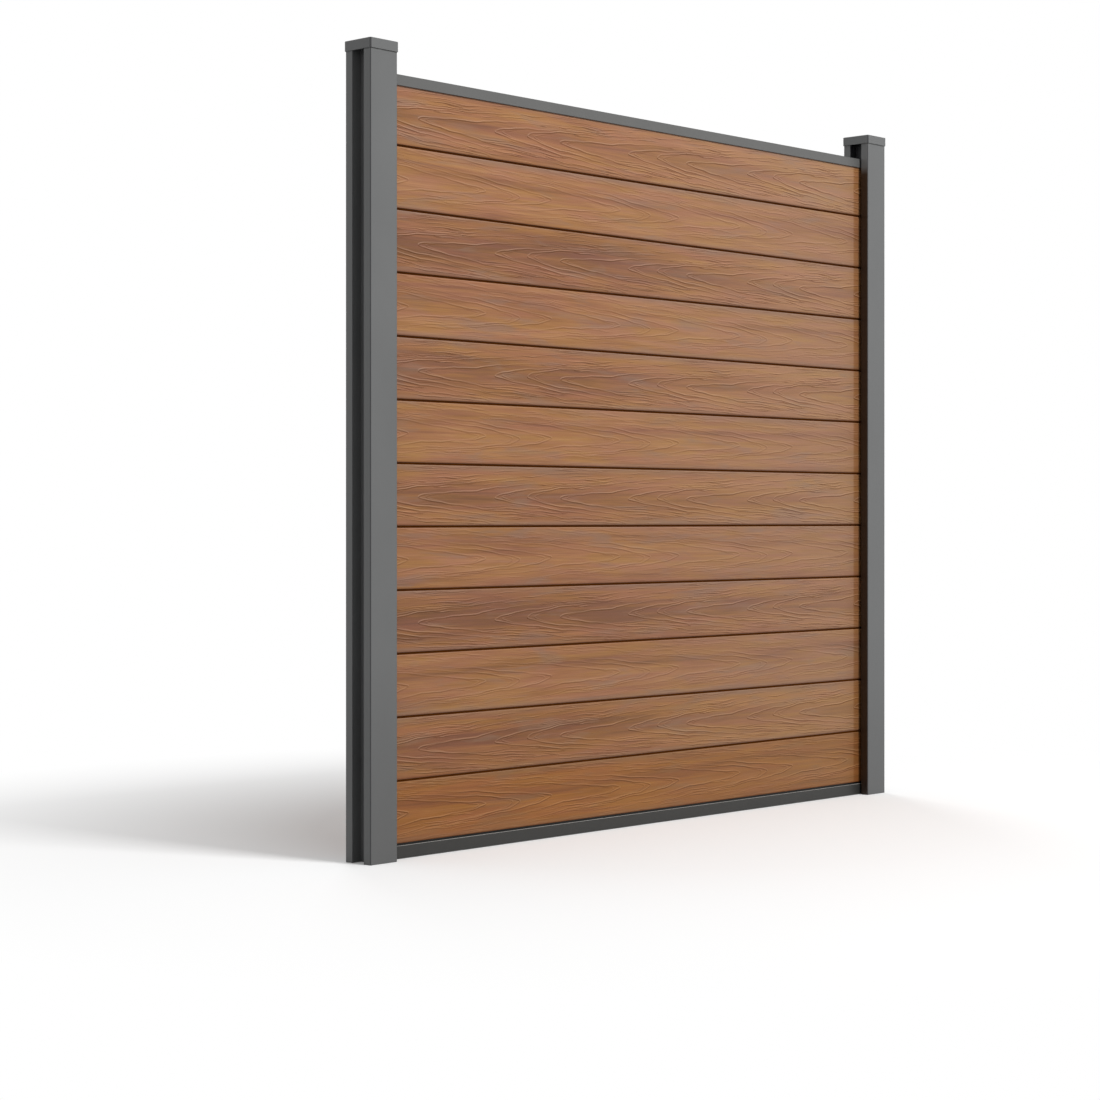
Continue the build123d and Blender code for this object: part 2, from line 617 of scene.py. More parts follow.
        # Painted shade in the joints between boards.
        return graph.cover(graph.remap(wear_and_light, (-1.0, SEAM_SHADE), SHARE), colour, self.seam_shade)

    def material(self, name: str, height: float, make: BoardMake, seed: int) -> bpy.types.Material:
        """Makes the finish of one board.

        Args:
            name: The material's name.
            height: Height of the board's face.
            make: How the board was made.
            seed: Moves the streaks, so that no two boards are alike.

        Returns:
            The material.
        """
        material, graph = new_material(name)
        place = tuple(step * seed for step in self.seed_step)
        drift = graph.noise(self.drift, place)
        fibre = graph.noise(self.fibre, place)
        speck = graph.noise(self.speck, place)
        level = graph.remap(graph.axis("Z"), (0.0, height), SHARE)
        colour = self.streaked(graph, place, level, drift, make)
        colour = graph.shade(colour, graph.remap(fibre, self.fibre_span, self.fibre_shade))
        colour = self.age_and_paint_light(graph, colour, level, drift)
        shader = graph.surface()
        graph.join(self.lit_and_worn(graph, colour, make.tone), shader.inputs["Base Color"])
        shader.inputs["Specular IOR Level"].default_value = self.gloss
        graph.join(graph.remap(fibre, NOISE_SPAN, self.roughness), shader.inputs["Roughness"])
        grained = graph.bump(fibre, self.fibre_relief)
        graph.join(graph.bump(speck, self.speck_relief, grained), shader.inputs["Normal"])
        return material


@dataclass(frozen=True)
class CoreFinish:
    """Bare composite of the tongues, grooves and cut ends.

    Attributes:
        dark, light: The colours of its chips.
        gloss: Its specular level.
        roughness: How rough it is on dark and on light chips.
        chips: Its noise.
        relief: How the chips dent it.
    """

    dark: Colour = (0.200, 0.062, 0.008, 1.0)
    light: Colour = (0.280, 0.090, 0.014, 1.0)
    gloss: float = 0.05
    roughness: Span = (0.75, 0.9)
    chips: Noise = Noise((120.0, 700.0, 700.0), 3.0, 0.6)
    relief: Relief = Relief(0.0003, 0.4)

    def material(self, name: str) -> bpy.types.Material:
        """Makes the core's finish.

        Args:
            name: The material's name.

        Returns:
            The material.
        """
        material, graph = new_material(name)
        chips = graph.noise(self.chips)
        shader = graph.surface()
        graph.join(graph.ramp(chips, [(0.35, self.dark), (0.65, self.light)]), shader.inputs["Base Color"])
        shader.inputs["Specular IOR Level"].default_value = self.gloss
        graph.join(graph.remap(chips, NOISE_SPAN, self.roughness), shader.inputs["Roughness"])
        graph.join(graph.bump(chips, self.relief), shader.inputs["Normal"])
        return material


@dataclass(frozen=True)
class CoatFinish:
    """Fine-textured powder coat on aluminium.

    Attributes:
        colour: The coat.
        thin: The coat where its grit stands out.
        edge: Its colour on rounded edges, and the painted shade inside the slots; on the bottom rail it is a
            painted highlight.
        edge_share: How much of that shows.
        lip_shade: Painted shade on the lips of the slots that hold the boards, tinted brown as a painted
            reflection of the boards.
        lip_place: How far from the panel's middle the lips lie, or zero for none.
        lip_depth: How deep their colour reaches into the post.
        lip_top: Up to where the lips have that colour, fading over lip_fade.
        slot_half: Half the width of a slot, fading over slot_rim.
        slot_end: Up to where from the panel's middle a slot takes the edge colour as painted shade, fading
            over slot_fade.
        ground_shade: How dark the painted shade near the ground makes the coat at the ground.
        ground_shade_height: Up to where that painted shade reaches.
        round_span: How square to an axis the surface is on a rounded edge and on a flat face.
        shade: How dark and how light the coat drifts.
        roughness: How rough it is where it is rubbed and where it isn't.
        gloss: Its specular level.
        drift: Its wide unevenness.
        grit: Its fine texture.
        relief: How high that stands.
    """

    colour: Colour
    thin: Colour
    edge: Colour = (0.020, 0.020, 0.023, 1.0)
    edge_share: float = 0.90
    lip_shade: Colour = (0.020, 0.009, 0.003, 1.0)
    lip_place: float = 0.0
    lip_depth: float = 0.0008
    lip_top: float = 0.0
    lip_fade: float = 0.02
    slot_half: float = 0.0181
    slot_rim: float = 0.0002
    slot_end: float = 0.0
    slot_fade: float = 0.001
    ground_shade: float = 0.82
    ground_shade_height: float = 0.45
    round_span: Span = (0.92, 0.99)
    shade: Span = (0.95, 1.05)
    roughness: Span = (0.37, 0.47)
    gloss: float = 0.5
    drift: Noise = Noise((5.0, 5.0, 3.0), 3.0, 0.55)
    grit: Noise = Noise((1500.0, 1500.0, 1500.0), 2.0, 0.6)
    relief: Relief = Relief(0.00012, 0.4)

    def slotted(self, graph: ShaderGraph, tint: Socket) -> Socket:
        """Paints shade on the lips and the inside of the slots that hold the boards.

        Args:
            graph: The material's nodes.
            tint: The coat's colour.

        Returns:
            The colour output.
        """
        # Painted shade on the lips beside the boards, below the top rail.
        lips = graph.remap(graph.span("X"), (self.lip_place, self.lip_place + self.lip_depth), (1.0, 0.0))
        below = graph.remap(graph.axis("Z"), (self.lip_top - self.lip_fade, self.lip_top), (1.0, 0.0))
        tint = graph.cover(graph.combine("MULTIPLY", lips, below), tint, self.lip_shade)
        # Painted shade inside the slots, on the side towards the boards.
        within = graph.remap(graph.span("Y"), (self.slot_half, self.slot_half + self.slot_rim), (1.0, 0.0))
        inner = graph.remap(graph.span("X"), (self.slot_end - self.slot_fade, self.slot_end), (1.0, 0.0))
        return graph.cover(graph.combine("MULTIPLY", within, inner), tint, self.edge)

    def material(self, name: str) -> bpy.types.Material:
        """Makes the coat.

        Args:
            name: The material's name.

        Returns:
            The material.
        """
        material, graph = new_material(name)
        drift = graph.noise(self.drift)
        grit = graph.noise(self.grit)
        tint = graph.ramp(grit, [(0.3, self.colour), (0.75, self.thin)])
        tint = graph.shade(tint, graph.remap(drift, NOISE_SPAN, self.shade))
        # Painted shade near the ground: darker towards the bottom.
        tint = graph.shade(tint, graph.remap(graph.axis("Z"), (0.0, self.ground_shade_height), (self.ground_shade, 1.0)))
        # Rounded edges take the edge colour: dark lines by default, a painted highlight on the bottom rail.
        rounded = graph.remap(graph.squareness(), self.round_span, (self.edge_share, 0.0))
        tint = graph.cover(rounded, tint, self.edge)
        if self.lip_place > 0.0:
            tint = self.slotted(graph, tint)
        shader = graph.surface()
        graph.join(tint, shader.inputs["Base Color"])
        graph.join(graph.remap(drift, NOISE_SPAN, self.roughness), shader.inputs["Roughness"])
        shader.inputs["Specular IOR Level"].default_value = self.gloss
        graph.join(graph.bump(grit, self.relief), shader.inputs["Normal"])
        return material


@dataclass(frozen=True)
class PlasticFinish:
    """Matt black plastic with a faint mould texture.

    Attributes:
        colour: The plastic.
        dusty: The plastic where dust lies on it.
        roughness: How rough it is when clean and when dusty.
        mottle: Where the dust lies.
        grit: The mould texture.
        relief: How that dents it.
    """

    colour: Colour = (0.012, 0.012, 0.012, 1.0)
    dusty: Colour = (0.022, 0.021, 0.020, 1.0)
    roughness: Span = (0.6, 0.75)
    mottle: Noise = Noise((60.0, 60.0, 20.0), 3.0, 0.6)
    grit: Noise = Noise((1800.0, 1800.0, 1800.0), 2.0, 0.5)
    relief: Relief = Relief(0.0001, 0.4)

    def material(self, name: str) -> bpy.types.Material:
        """Makes the plastic.

        Args:
            name: The material's name.

        Returns:
            The material.
        """
        material, graph = new_material(name)
        mottle = graph.noise(self.mottle)
        grit = graph.noise(self.grit)
        tint = graph.ramp(mottle, [(0.35, self.colour), (0.7, self.dusty)])
        shader = graph.surface()
        graph.join(tint, shader.inputs["Base Color"])
        graph.join(graph.remap(mottle, NOISE_SPAN, self.roughness), shader.inputs["Roughness"])
        graph.join(graph.bump(grit, self.relief), shader.inputs["Normal"])
        return material


@dataclass(frozen=True)
class FloorFinish:
    """Pale floor that keeps a shadow near the object and fades to white away from it.

    Attributes:
        colour: How it looks near the object.
        bounce: How it looks to the light that it throws back.
        fade_span: How far from the object it begins and ends to fade to white.
    """

    colour: Colour = (0.93, 0.93, 0.93, 1.0)
    bounce: Colour = (0.34, 0.34, 0.34, 1.0)
    fade_span: Span = (0.8, 2.2)

    def material(self, name: str) -> bpy.types.Material:
        """Makes the floor's finish.

        Args:
            name: The material's name.

        Returns:
            The material.
        """
        material, graph = new_material(name)
        coordinates = graph.add("ShaderNodeTexCoord")
        reach = graph.add("ShaderNodeVectorMath", operation="LENGTH")
        graph.join(coordinates.outputs["Object"], reach.inputs[0])
        far = graph.remap(reach.outputs["Value"], self.fade_span, SHARE)
        paint = graph.add("ShaderNodeBsdfDiffuse")
        paint.inputs["Color"].default_value = self.colour
        dim = graph.add("ShaderNodeBsdfDiffuse")
        dim.inputs["Color"].default_value = self.bounce
        white = graph.add("ShaderNodeEmission")
        seen = graph.blend(far, paint.outputs["BSDF"], white.outputs["Emission"])
        output = graph.add("ShaderNodeOutputMaterial")
        graph.join(graph.blend(graph.seen_straight(), dim.outputs["BSDF"], seen), output.inputs["Surface"])
        return material


@dataclass(frozen=True)
class Flame:
    """One flame of the grain: an upper and a lower line that meet in a tip.

    Attributes:
        tip: Where the tip lies in a repeat.
        upper: How far the upper line stands off the axis behind the tip.
        upper_run: The length in which it gets there.
        lower: The same for the lower line.
        lower_run: The length in which that gets there.
    """

    tip: float
    upper: float
    upper_run: float
    lower: float
    lower_run: float


@dataclass(frozen=True)
class Sway:
    """One wave that bends the grain.

    Attributes:
        lift: Its height.
        turns: How many waves a repeat has.
        phase: Where it starts.
        slant: How fast it shifts with the height on the face.
    """

    lift: float
    turns: float
    phase: float
    slant: float


@dataclass(frozen=True)
class GrainLine:
    """A pressed line of the grain: a ridge with a furrow under it.

    Attributes:
        points: Its middle line, one row of X and Z a point.
        width: Half its width at each point.
        rise: How far its ridge stands out of the face at each point.
        sides: Where across the line its vertices lie, in half widths.
    """

    points: np.ndarray
    width: np.ndarray
    rise: np.ndarray
    sides: tuple[float, ...]


@dataclass(frozen=True)
class FacePatch:
    """A board's face with its grain, laid flat.

    Attributes:
        points: X and Z of each vertex.
        triangles: Vertex numbers, anticlockwise as seen from outside.
        rise: How far each vertex stands out of the face.
        wear_and_light: 1 where the vertex is rubbed pale and carries a painted highlight, -1 where dirt and
            painted shade darken it.
    """

    points: np.ndarray
    triangles: np.ndarray
    rise: np.ndarray
    wear_and_light: np.ndarray


@dataclass
class GrainPattern:
    """The pattern of the embossing roller that presses the boards.

    Attributes:
        length: Length of the face.
        height: Height of its flat part.
        stations: The X of the vertices on its long borders.
        start: Where the first repeat begins.
        upside: 1 where the face stays as it is laid out, -1 where the board is turned upside down.
        depth: How deep the roller presses, as a share of the full depth.
        repeat: Length of a repeat.
        flames: The flames in it.
        sways: The waves that bend every line.
        axis_share, axis_drop: Where the flames' axis lies on the face, and how far it is off the middle.
        tip_round: How blunt the tips are.
        spread_up, spread_down: How fast the lines part behind a tip.
        reach, steps: How far a flame runs behind its tip, and in how many steps.
        crest: The full height of a ridge.
        sides, rises, wear_and_light_levels: The section of a line: places in half widths, with their height
            and how pale or dark they are painted, from rubbing and dirt with painted highlight and shade.
        fibre_sides: The places that a fine stroke has of these.
        line_width: Half the width of a flame's line.
        echo_gap, echo_reach, echo_steps, echo_force: The short fainter line inside each flame.
        force_mean, force_swing, force_pace, force_shift: How a flame's height swells along it.
        tail: Share of a flame in which it thins out.
        thinnest: Share of its height that a line keeps at its ends.
        fibres: How many fine strokes a repeat has.
        fibre_width, fibre_points: Half the width of a fine stroke, and its number of points.
        fibre_edge, fibre_band, fibre_crowding: How far off the middle they lie, more of them near the edges.
        fibre_lengths, fibre_tilts, fibre_forces, fibre_widths: Ranges that their forms are drawn from.
        margin: How far the lines stay off the border.
        window: Length of the stretch that is worked out at once.
        weld: How near two points have to be to become one.
        seed: Starts the draws.
    """

    length: float
    height: float
    stations: np.ndarray
    start: float
    upside: float
    depth: float
    repeat: float = 0.467
    flames: tuple[Flame, ...] = (
        Flame(0.000, 0.004, 0.015, 0.005, 0.015),
        Flame(0.245, 0.010, 0.040, 0.008, 0.040),
        Flame(0.354, 0.014, 0.025, 0.008, 0.035),
    )
    sways: tuple[Sway, ...] = (
        Sway(0.0012, 1.0, 0.6, 0.0),
        Sway(0.0012, 2.0, 0.0, 30.0),
        Sway(0.0010, 4.0, 1.3, 60.0),
        Sway(0.0005, 9.0, 2.1, 90.0),
    )
    axis_share: float = 0.5
    axis_drop: float = 0.035
    tip_round: float = 0.004
    spread_up: float = 0.075
    spread_down: float = 0.090
    reach: float = 0.52
    steps: int = 30
    crest: float = 0.0009
    sides: tuple[float, ...] = (-1.0, -0.6, -0.2, 0.2, 0.6, 1.0)
    rises: tuple[float, ...] = (0.0, -0.3, 0.35, 1.0, 0.5, 0.0)
    # Pale on the upper flank and dark on the lower: rubbing and dirt with painted highlight and shade.
    wear_and_light_levels: tuple[float, ...] = (0.0, -1.0, -0.7, 0.4, 1.0, 0.0)
    fibre_sides: tuple[float, ...] = (-1.0, -0.6, 0.2, 1.0)
    line_width: float = 0.0033
    echo_gap: float = 0.024
    echo_reach: float = 0.07
    echo_steps: int = 12
    echo_force: float = 0.55
    force_mean: float = 0.76
    force_swing: float = 0.24
    force_pace: float = 19.0
    force_shift: float = 40.0
    tail: float = 0.6
    thinnest: float = 0.12
    fibres: int = 84
    fibre_width: float = 0.0022
    fibre_points: int = 7
    fibre_lengths: Span = (0.03, 0.16)
    fibre_edge: float = 0.49
    fibre_band: float = 0.36
    fibre_crowding: float = 1.3
    fibre_tilts: Span = (0.2, 0.8)
    fibre_forces: Span = (0.5, 1.05)
    fibre_widths: Span = (0.8, 1.2)
    margin: float = 0.0018
    window: float = 0.025
    weld: float = 1e-7
    seed: int = 7

    def sway(self, points: np.ndarray) -> np.ndarray:
        """Bends all lines alike, so that neighbours never cross.

        Args:
            points: Points of a line.

        Returns:
            The bent points.
        """
        turn = 2.0 * math.pi * points[:, 0] / self.repeat
        lift = np.zeros(len(points))
        for wave in self.sways:
            lift += wave.lift * np.sin(wave.turns * turn + wave.phase + wave.slant * points[:, 1])
        return points + np.stack([np.zeros_like(lift), lift], axis=1)

    def flame_line(self, flame: Flame, tip: float, reach: float, steps: int, strength: float) -> GrainLine:
        """Lays out one flame.

        Args:
            flame: Its form.
            tip: The X of its tip.
            reach: How far it runs behind the tip.
            steps: How many steps it takes on each side of the tip.
            strength: Its height as a share of the crest.

        Returns:
            The line.
        """
        root = np.linspace(-math.sqrt(reach), math.sqrt(reach), 2 * steps + 1)
        run = root * np.abs(root)
        size = np.abs(run)
        along = np.hypot(run, self.tip_round) - self.tip_round
        stand = np.where(run > 0.0, flame.upper, flame.lower)
        ease = np.where(run > 0.0, flame.upper_run, flame.lower_run)
        spread = np.where(run > 0.0, self.spread_up, self.spread_down)
        across = np.sign(run) * (stand * (1.0 - np.exp(-size / ease)) + spread * size)
        axis = self.height * (self.axis_share - self.upside * self.axis_drop)
        points = np.stack([tip + along, axis + across], axis=1)
        wave = np.sin(self.force_pace * root + self.force_shift * flame.tip)
        force = self.force_mean + self.force_swing * wave
        fade = np.clip((reach - size) / (self.tail * reach), self.thinnest, 1.0)
        rise = self.crest * strength * force * fade
        return GrainLine(self.sway(points), self.line_width * fade**0.5, rise, self.sides)

    def fibre_line(self, shift: float, draw: random.Random) -> GrainLine:
        """Lays out one fine stroke beside the flames.

        Args:
            shift: The X of the repeat that it lies in.
            draw: Gives its place, length and strength.

        Returns:
            The line.
        """
        start = shift + draw.uniform(0.0, self.repeat)
        length = draw.uniform(*self.fibre_lengths)
        side = draw.choice((-1.0, 1.0))
        inwards = self.fibre_band * draw.random() ** self.fibre_crowding
        offset = side * self.height * (self.fibre_edge - inwards)
        spread = self.spread_up if offset > 0.0 else -self.spread_down
        tilt = spread * draw.uniform(*self.fibre_tilts)
        strength = draw.uniform(*self.fibre_forces)
        width = self.fibre_width * draw.uniform(*self.fibre_widths)
        share = np.linspace(0.0, 1.0, self.fibre_points)
        points = np.stack(
            [start + length * share, self.height / 2 + offset + tilt * length * share], axis=1
        )
        taper = np.clip(np.sin(math.pi * share), self.thinnest, 1.0)
        rise = self.crest * strength * taper
        return GrainLine(self.sway(points), width * taper**0.5, rise, self.fibre_sides)

    def lines(self) -> list[GrainLine]:
        """Lays out every line that crosses the face.

        Returns:
            The lines.
        """
        first = -math.ceil(self.reach / self.repeat) - 1
        last = math.ceil(self.length / self.repeat)
        found = []
        for turn in range(first, last):
            shift = self.start - self.length / 2 + turn * self.repeat
            draw = random.Random(self.seed)
            for flame in self.flames:
                tip = shift + flame.tip
                found.append(self.flame_line(flame, tip, self.reach, self.steps, 1.0))
                tip += self.echo_gap
                found.append(self.flame_line(flame, tip, self.echo_reach, self.echo_steps, self.echo_force))
            for _ in range(self.fibres):
                found.append(self.fibre_line(shift, draw))
        return found

    def across(self, levels: tuple[float, ...], side: np.ndarray, lean: np.ndarray) -> np.ndarray:
        """Reads the section of a line: a ridge over a furrow, even on both sides where it rounds a tip.

        Args:
            levels: What the section holds at its named sides.
            side: Place across the line in half widths, more than zero on its left.
            lean: Which way the line runs, from -1 for leftwards to 1 for rightwards.

        Returns:
            The level at each place.
        """
        rightwards = np.interp(side, self.sides, levels)
        leftwards = np.interp(-side, self.sides, levels)
        return (rightwards * (1.0 + lean) + leftwards * (1.0 - lean)) / 2

    def ribs(self, line: GrainLine) -> list[np.ndarray]:
        """Follows a line on both flanks, cut where they leave the face.

        Args:
            line: The line.

        Returns:
            Runs of points that lie well inside the face.
        """
        along = np.gradient(line.points, axis=0)
        along /= np.linalg.norm(along, axis=1)[:, None]
        normal = np.stack([-along[:, 1], along[:, 0]], axis=1)
        runs = []
        for side in line.sides:
            points = line.points + normal * (side * line.width)[:, None]
            inside = np.abs(points[:, 0]) < self.length / 2 - self.margin
            inside &= (points[:, 1] > self.margin) & (points[:, 1] < self.height - self.margin)
            cuts = np.flatnonzero(np.diff(inside.astype(int))) + 1
            for run, kept in zip(np.split(points, cuts), np.split(inside, cuts)):
                if kept[0] and len(run) > 1:
                    runs.append(run)
        return runs

    def press(self, points: np.ndarray, lines: list[GrainLine]) -> tuple[np.ndarray, np.ndarray]:
        """Works out how far the face stands out and how pale or dark it is painted, from rubbing, dirt and
        painted light.

        Args:
            points: X and Z of the places asked for.
            lines: Every line.

        Returns:
            The rise and the pale or dark level at each place.
        """
        starts = np.concatenate([line.points[:-1] for line in lines])
        spans = np.concatenate([np.diff(line.points, axis=0) for line in lines])
        widths = np.concatenate(
            [np.stack([line.width[:-1], np.diff(line.width)], axis=1) for line in lines]
        )
        rises = np.concatenate([np.stack([line.rise[:-1], np.diff(line.rise)], axis=1) for line in lines])
        lows = np.minimum(starts[:, 0], starts[:, 0] + spans[:, 0]) - self.line_width
        highs = np.maximum(starts[:, 0], starts[:, 0] + spans[:, 0]) + self.line_width
        height = np.zeros(len(points))
        wear_and_light = np.zeros(len(points))
        for edge in np.arange(-self.length / 2 - self.window, self.length / 2 + self.window, self.window):
            here = np.flatnonzero((points[:, 0] >= edge) & (points[:, 0] < edge + self.window))
            near = np.flatnonzero((highs > edge) & (lows < edge + self.window))
            if not len(here) or not len(near):
                continue
            away = points[here][:, None, :] - starts[near][None]
            share = (away * spans[near][None]).sum(axis=2) / (spans[near] ** 2).sum(axis=1)[None]
            share = np.clip(share, 0.0, 1.0)
            gap = np.linalg.norm(away - share[:, :, None] * spans[near][None], axis=2)
            left = spans[near, 0] * away[:, :, 1] - spans[near, 1] * away[:, :, 0]
            # upside keeps each ridge above its furrow on turned boards, so the painted highlight stays above
            # the painted shade.
            lean = self.upside * spans[near, 0] / np.linalg.norm(spans[near], axis=1)
            width = widths[near, 0] + widths[near, 1] * share
            rise = rises[near, 0] + rises[near, 1] * share
            side = np.sign(left) * gap / width
            heights = rise * self.across(self.rises, side, lean)
            wear_and_light_levels = rise / self.crest * self.across(self.wear_and_light_levels, side, lean)
            rows = np.arange(len(here))
            height[here] = heights[rows, np.abs(heights).argmax(axis=1)]
            wear_and_light[here] = wear_and_light_levels[rows, np.abs(wear_and_light_levels).argmax(axis=1)]
        return height, wear_and_light

    def patch(self) -> FacePatch:
        """Triangulates the face along its lines.

        Returns:
            The face with its grain.
        """
        lines = self.lines()
        lower = np.stack([self.stations, np.zeros_like(self.stations)], axis=1)
        upper = np.stack([self.stations[::-1], np.full_like(self.stations, self.height)], axis=1)
        border = np.concatenate([lower, upper])
        points = [border]
        edges = [(index, (index + 1) % len(border)) for index in range(len(border))]
        count = len(border)
        for line in lines:
            for run in self.ribs(line):
                points.append(run)
                edges.extend((count + step, count + step + 1) for step in range(len(run) - 1))
                count += len(run)
        flat = [Vector(point) for point in np.concatenate(points)]
        found = geometry.delaunay_2d_cdt(flat, edges, [], 0, self.weld, False)
        places = np.array([tuple(point) for point in found[0]])
        triangles = np.array([tuple(triangle) for triangle in found[2]])
        rise, wear_and_light = self.press(places, lines)
        on_edge = np.minimum(places[:, 1], self.height - places[:, 1]) < self.margin / 2
        on_edge |= self.length / 2 - np.abs(places[:, 0]) < self.margin / 2
        rise[on_edge] = 0.0
        wear_and_light[on_edge] = 0.0
        rise *= self.depth
        wear_and_light *= self.depth
        LOG.info("grain laid out with %d lines, %d triangles", len(lines), len(triangles))
        return FacePatch(places, triangles, rise, wear_and_light)


class MeshDraft:
    """Collects vertices, faces and corner normals of one mesh."""

    def __init__(self) -> None:
        """Starts empty."""
        self.vertices: list[Triple] = []
        self.wear_and_light_levels: list[float] = []
        self.faces: list[tuple[int, ...]] = []
        self.normals: list[Triple] = []
        self.finishes: list[int] = []

    def vertex(self, place: Triple, wear_and_light: float) -> int:
        """Adds a vertex.

        Args:
            place: Its place.
            wear_and_light: 1 where it is rubbed pale with a painted highlight, 0 on the plain face, -1 in a
                furrow, SEAM_SHADE where painted shade fills the joint between boards.

        Returns:
            Its number.
        """
        self.vertices.append(place)
        self.wear_and_light_levels.append(wear_and_light)
        return len(self.vertices) - 1

    def face(
        self, corners: tuple[int, ...], finish: int = FACE_FINISH, normals: tuple[Triple, ...] | None = None
    ) -> None:
        """Adds a face.

        Args:
            corners: Vertex numbers, anticlockwise as seen from outside.
            finish: Which of the mesh's finishes it takes.
            normals: A normal for each corner, or none for a flat face.
        """
        if normals is None:
            places = [Vector(self.vertices[corner]) for corner in corners]
            flat = tuple(geometry.normal(places))
            normals = (flat,) * len(corners)
        self.faces.append(corners)
        self.finishes.append(finish)
        self.normals.extend(normals)

    def mesh(self, name: str) -> bpy.types.Mesh:
        """Turns the draft into a mesh.

        Args:
            name: The mesh's name.

        Returns:
            The mesh.
        """
        mesh = bpy.data.meshes.new(name)
        mesh.from_pydata(self.vertices, [], self.faces)
        mesh.attributes.new(WEAR_AND_LIGHT, "FLOAT", "POINT").data.foreach_set("value", self.wear_and_light_levels)
        mesh.polygons.foreach_set("material_index", self.finishes)
        mesh.polygons.foreach_set("use_smooth", [True] * len(self.faces))
        mesh.normals_split_custom_set(self.normals)
        mesh.update()
        return mesh


@dataclass
class BoardStack:
    """Twelve tongue-and-groove boards, embossed on both faces.

    Attributes:
        finish: The faces' finish.
        core: The finish of tongues, grooves and cut ends.
        tongue_thickness, tongue_height, tongue_lead: The tongue with its bevel.
        groove_depth, groove_width: The groove that takes the next board's tongue.
        board_wall, cell_count, cell_web, cell_bevel: The hollow cells and what is left between them.
        face_round: Rounding of the faces' long edges, in round_steps.
        upper_edge_light_and_shade, lower_edge_shade: Painted highlight and shade along that rounding, from
        the face inwards.
        station_gap: Length of the pieces that the long edges are made of.
        left_start, right_start: Where the grain's first repeat begins, for either grain run.
        border_reach: How near a vertex has to be to a long edge to count as part of it.
        makes: How each board was made, from the lowest up.
    """

    finish: CompositeFinish
    core: CoreFinish
    tongue_thickness: float = 0.007
    tongue_height: float = 0.012
    tongue_lead: float = 0.0012
    groove_depth: float = 0.008
    groove_width: float = 0.0076
    face_round: float = 0.0020
    round_steps: int = 4
    # Painted highlight on the top rounding, then painted shade into the joint; the bottom rounding is all
    # painted shade.
    upper_edge_light_and_shade: tuple[float, ...] = (0.5, 0.2, -1.0, SEAM_SHADE)
    lower_edge_shade: tuple[float, ...] = (-1.4, SEAM_SHADE, SEAM_SHADE, SEAM_SHADE)
    board_wall: float = 0.0045
    cell_count: int = 4
    cell_web: float = 0.005
    cell_bevel: float = 0.0015
    station_gap: float = 0.045
    left_start: float = 0.114
    right_start: float = 0.072
    border_reach: float = 1e-6
    makes: tuple[BoardMake, ...] = (
        # The lowest board takes the painted shade near the ground.
        BoardMake(GrainRun.TIPS_RIGHT, Tone.GROUND_SHADED, 1.0),
        BoardMake(GrainRun.TIPS_LEFT, Tone.WARM, 1.0),
        BoardMake(GrainRun.TIPS_RIGHT, Tone.MIDDLE, 0.62),
        BoardMake(GrainRun.TIPS_LEFT, Tone.DARK, 1.0),
        BoardMake(GrainRun.TIPS_RIGHT, Tone.PALE, 0.62),
        BoardMake(GrainRun.TIPS_LEFT, Tone.MIDDLE, 1.0),
        BoardMake(GrainRun.TIPS_RIGHT, Tone.PALE, 0.62),
        BoardMake(GrainRun.TIPS_LEFT, Tone.MIDDLE, 1.0),
        BoardMake(GrainRun.TIPS_RIGHT, Tone.PALE, 0.62),
        BoardMake(GrainRun.TIPS_LEFT, Tone.DARK, 1.0),
        BoardMake(GrainRun.TIPS_RIGHT, Tone.PALE, 0.62),
        BoardMake(GrainRun.TIPS_LEFT, Tone.PALE, 1.0),
    )

    def __post_init__(self) -> None:
        """Reads the board's size from the frame."""
        low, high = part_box("board_01")
        self.length = high.x - low.x
        self.thickness = high.y - low.y
        self.face_height = high.z - low.z - self.tongue_height
        spaces = round(self.length / self.station_gap)
        self.stations = np.linspace(-self.length / 2, self.length / 2, spaces + 1)

    def build(self) -> None:
        """Makes the boards, dresses them and puts them where the CAD boards are."""
        forms: dict[tuple[GrainRun, float], bpy.types.Mesh] = {}
        core = self.core.material("composite_core")
        for number, make in enumerate(self.makes, start=1):
            name = f"board_{number:02d}"
            kind = (make.run, make.depth)
            if kind not in forms:
                forms[kind] = self.form(make.run, make.depth)
            mesh = forms[kind].copy()
            mesh.materials.append(
                self.finish.material(f"composite_{number:02d}", self.face_height, make, number)
            )
            mesh.materials.append(core)
            board = bpy.data.objects.new(f"dressed_{name}", mesh)
            bpy.context.scene.collection.objects.link(board)
            board.location.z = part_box(name)[0].z
            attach(board, ROOT_BODY)
            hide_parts(name)
            LOG.info("%s embossed, %s, %s", board.name, make.run.name, make.tone.name)

    def form(self, run: GrainRun, depth: float) -> bpy.types.Mesh:
        """Closes two embossed faces into a hollow board.

        Args:
            run: Which way the flames point.
            depth: How deep the grain is pressed.

        Returns:
            The mesh, with its lower face edge at zero height.
        """
        start = self.left_start if run is GrainRun.TIPS_LEFT else self.right_start
        height = self.face_height - 2 * self.face_round
        pattern = GrainPattern(self.length, height, self.stations, start, run.value, depth)
        patch = pattern.patch()
        plane = self.thickness / 2 - pattern.crest
        draft = MeshDraft()
        front = self.add_face(draft, patch, run, plane, 1.0)
        back = self.add_face(draft, patch, run, plane, -1.0)
        lower = self.add_edge(draft, self.lower_edge(plane), front[0], back[0], False)
        upper = self.add_edge(draft, self.upper_edge(plane), front[1], back[1], True)
        self.add_ends(draft, upper, lower)
        return draft.mesh(f"board_{run.name.lower()}")

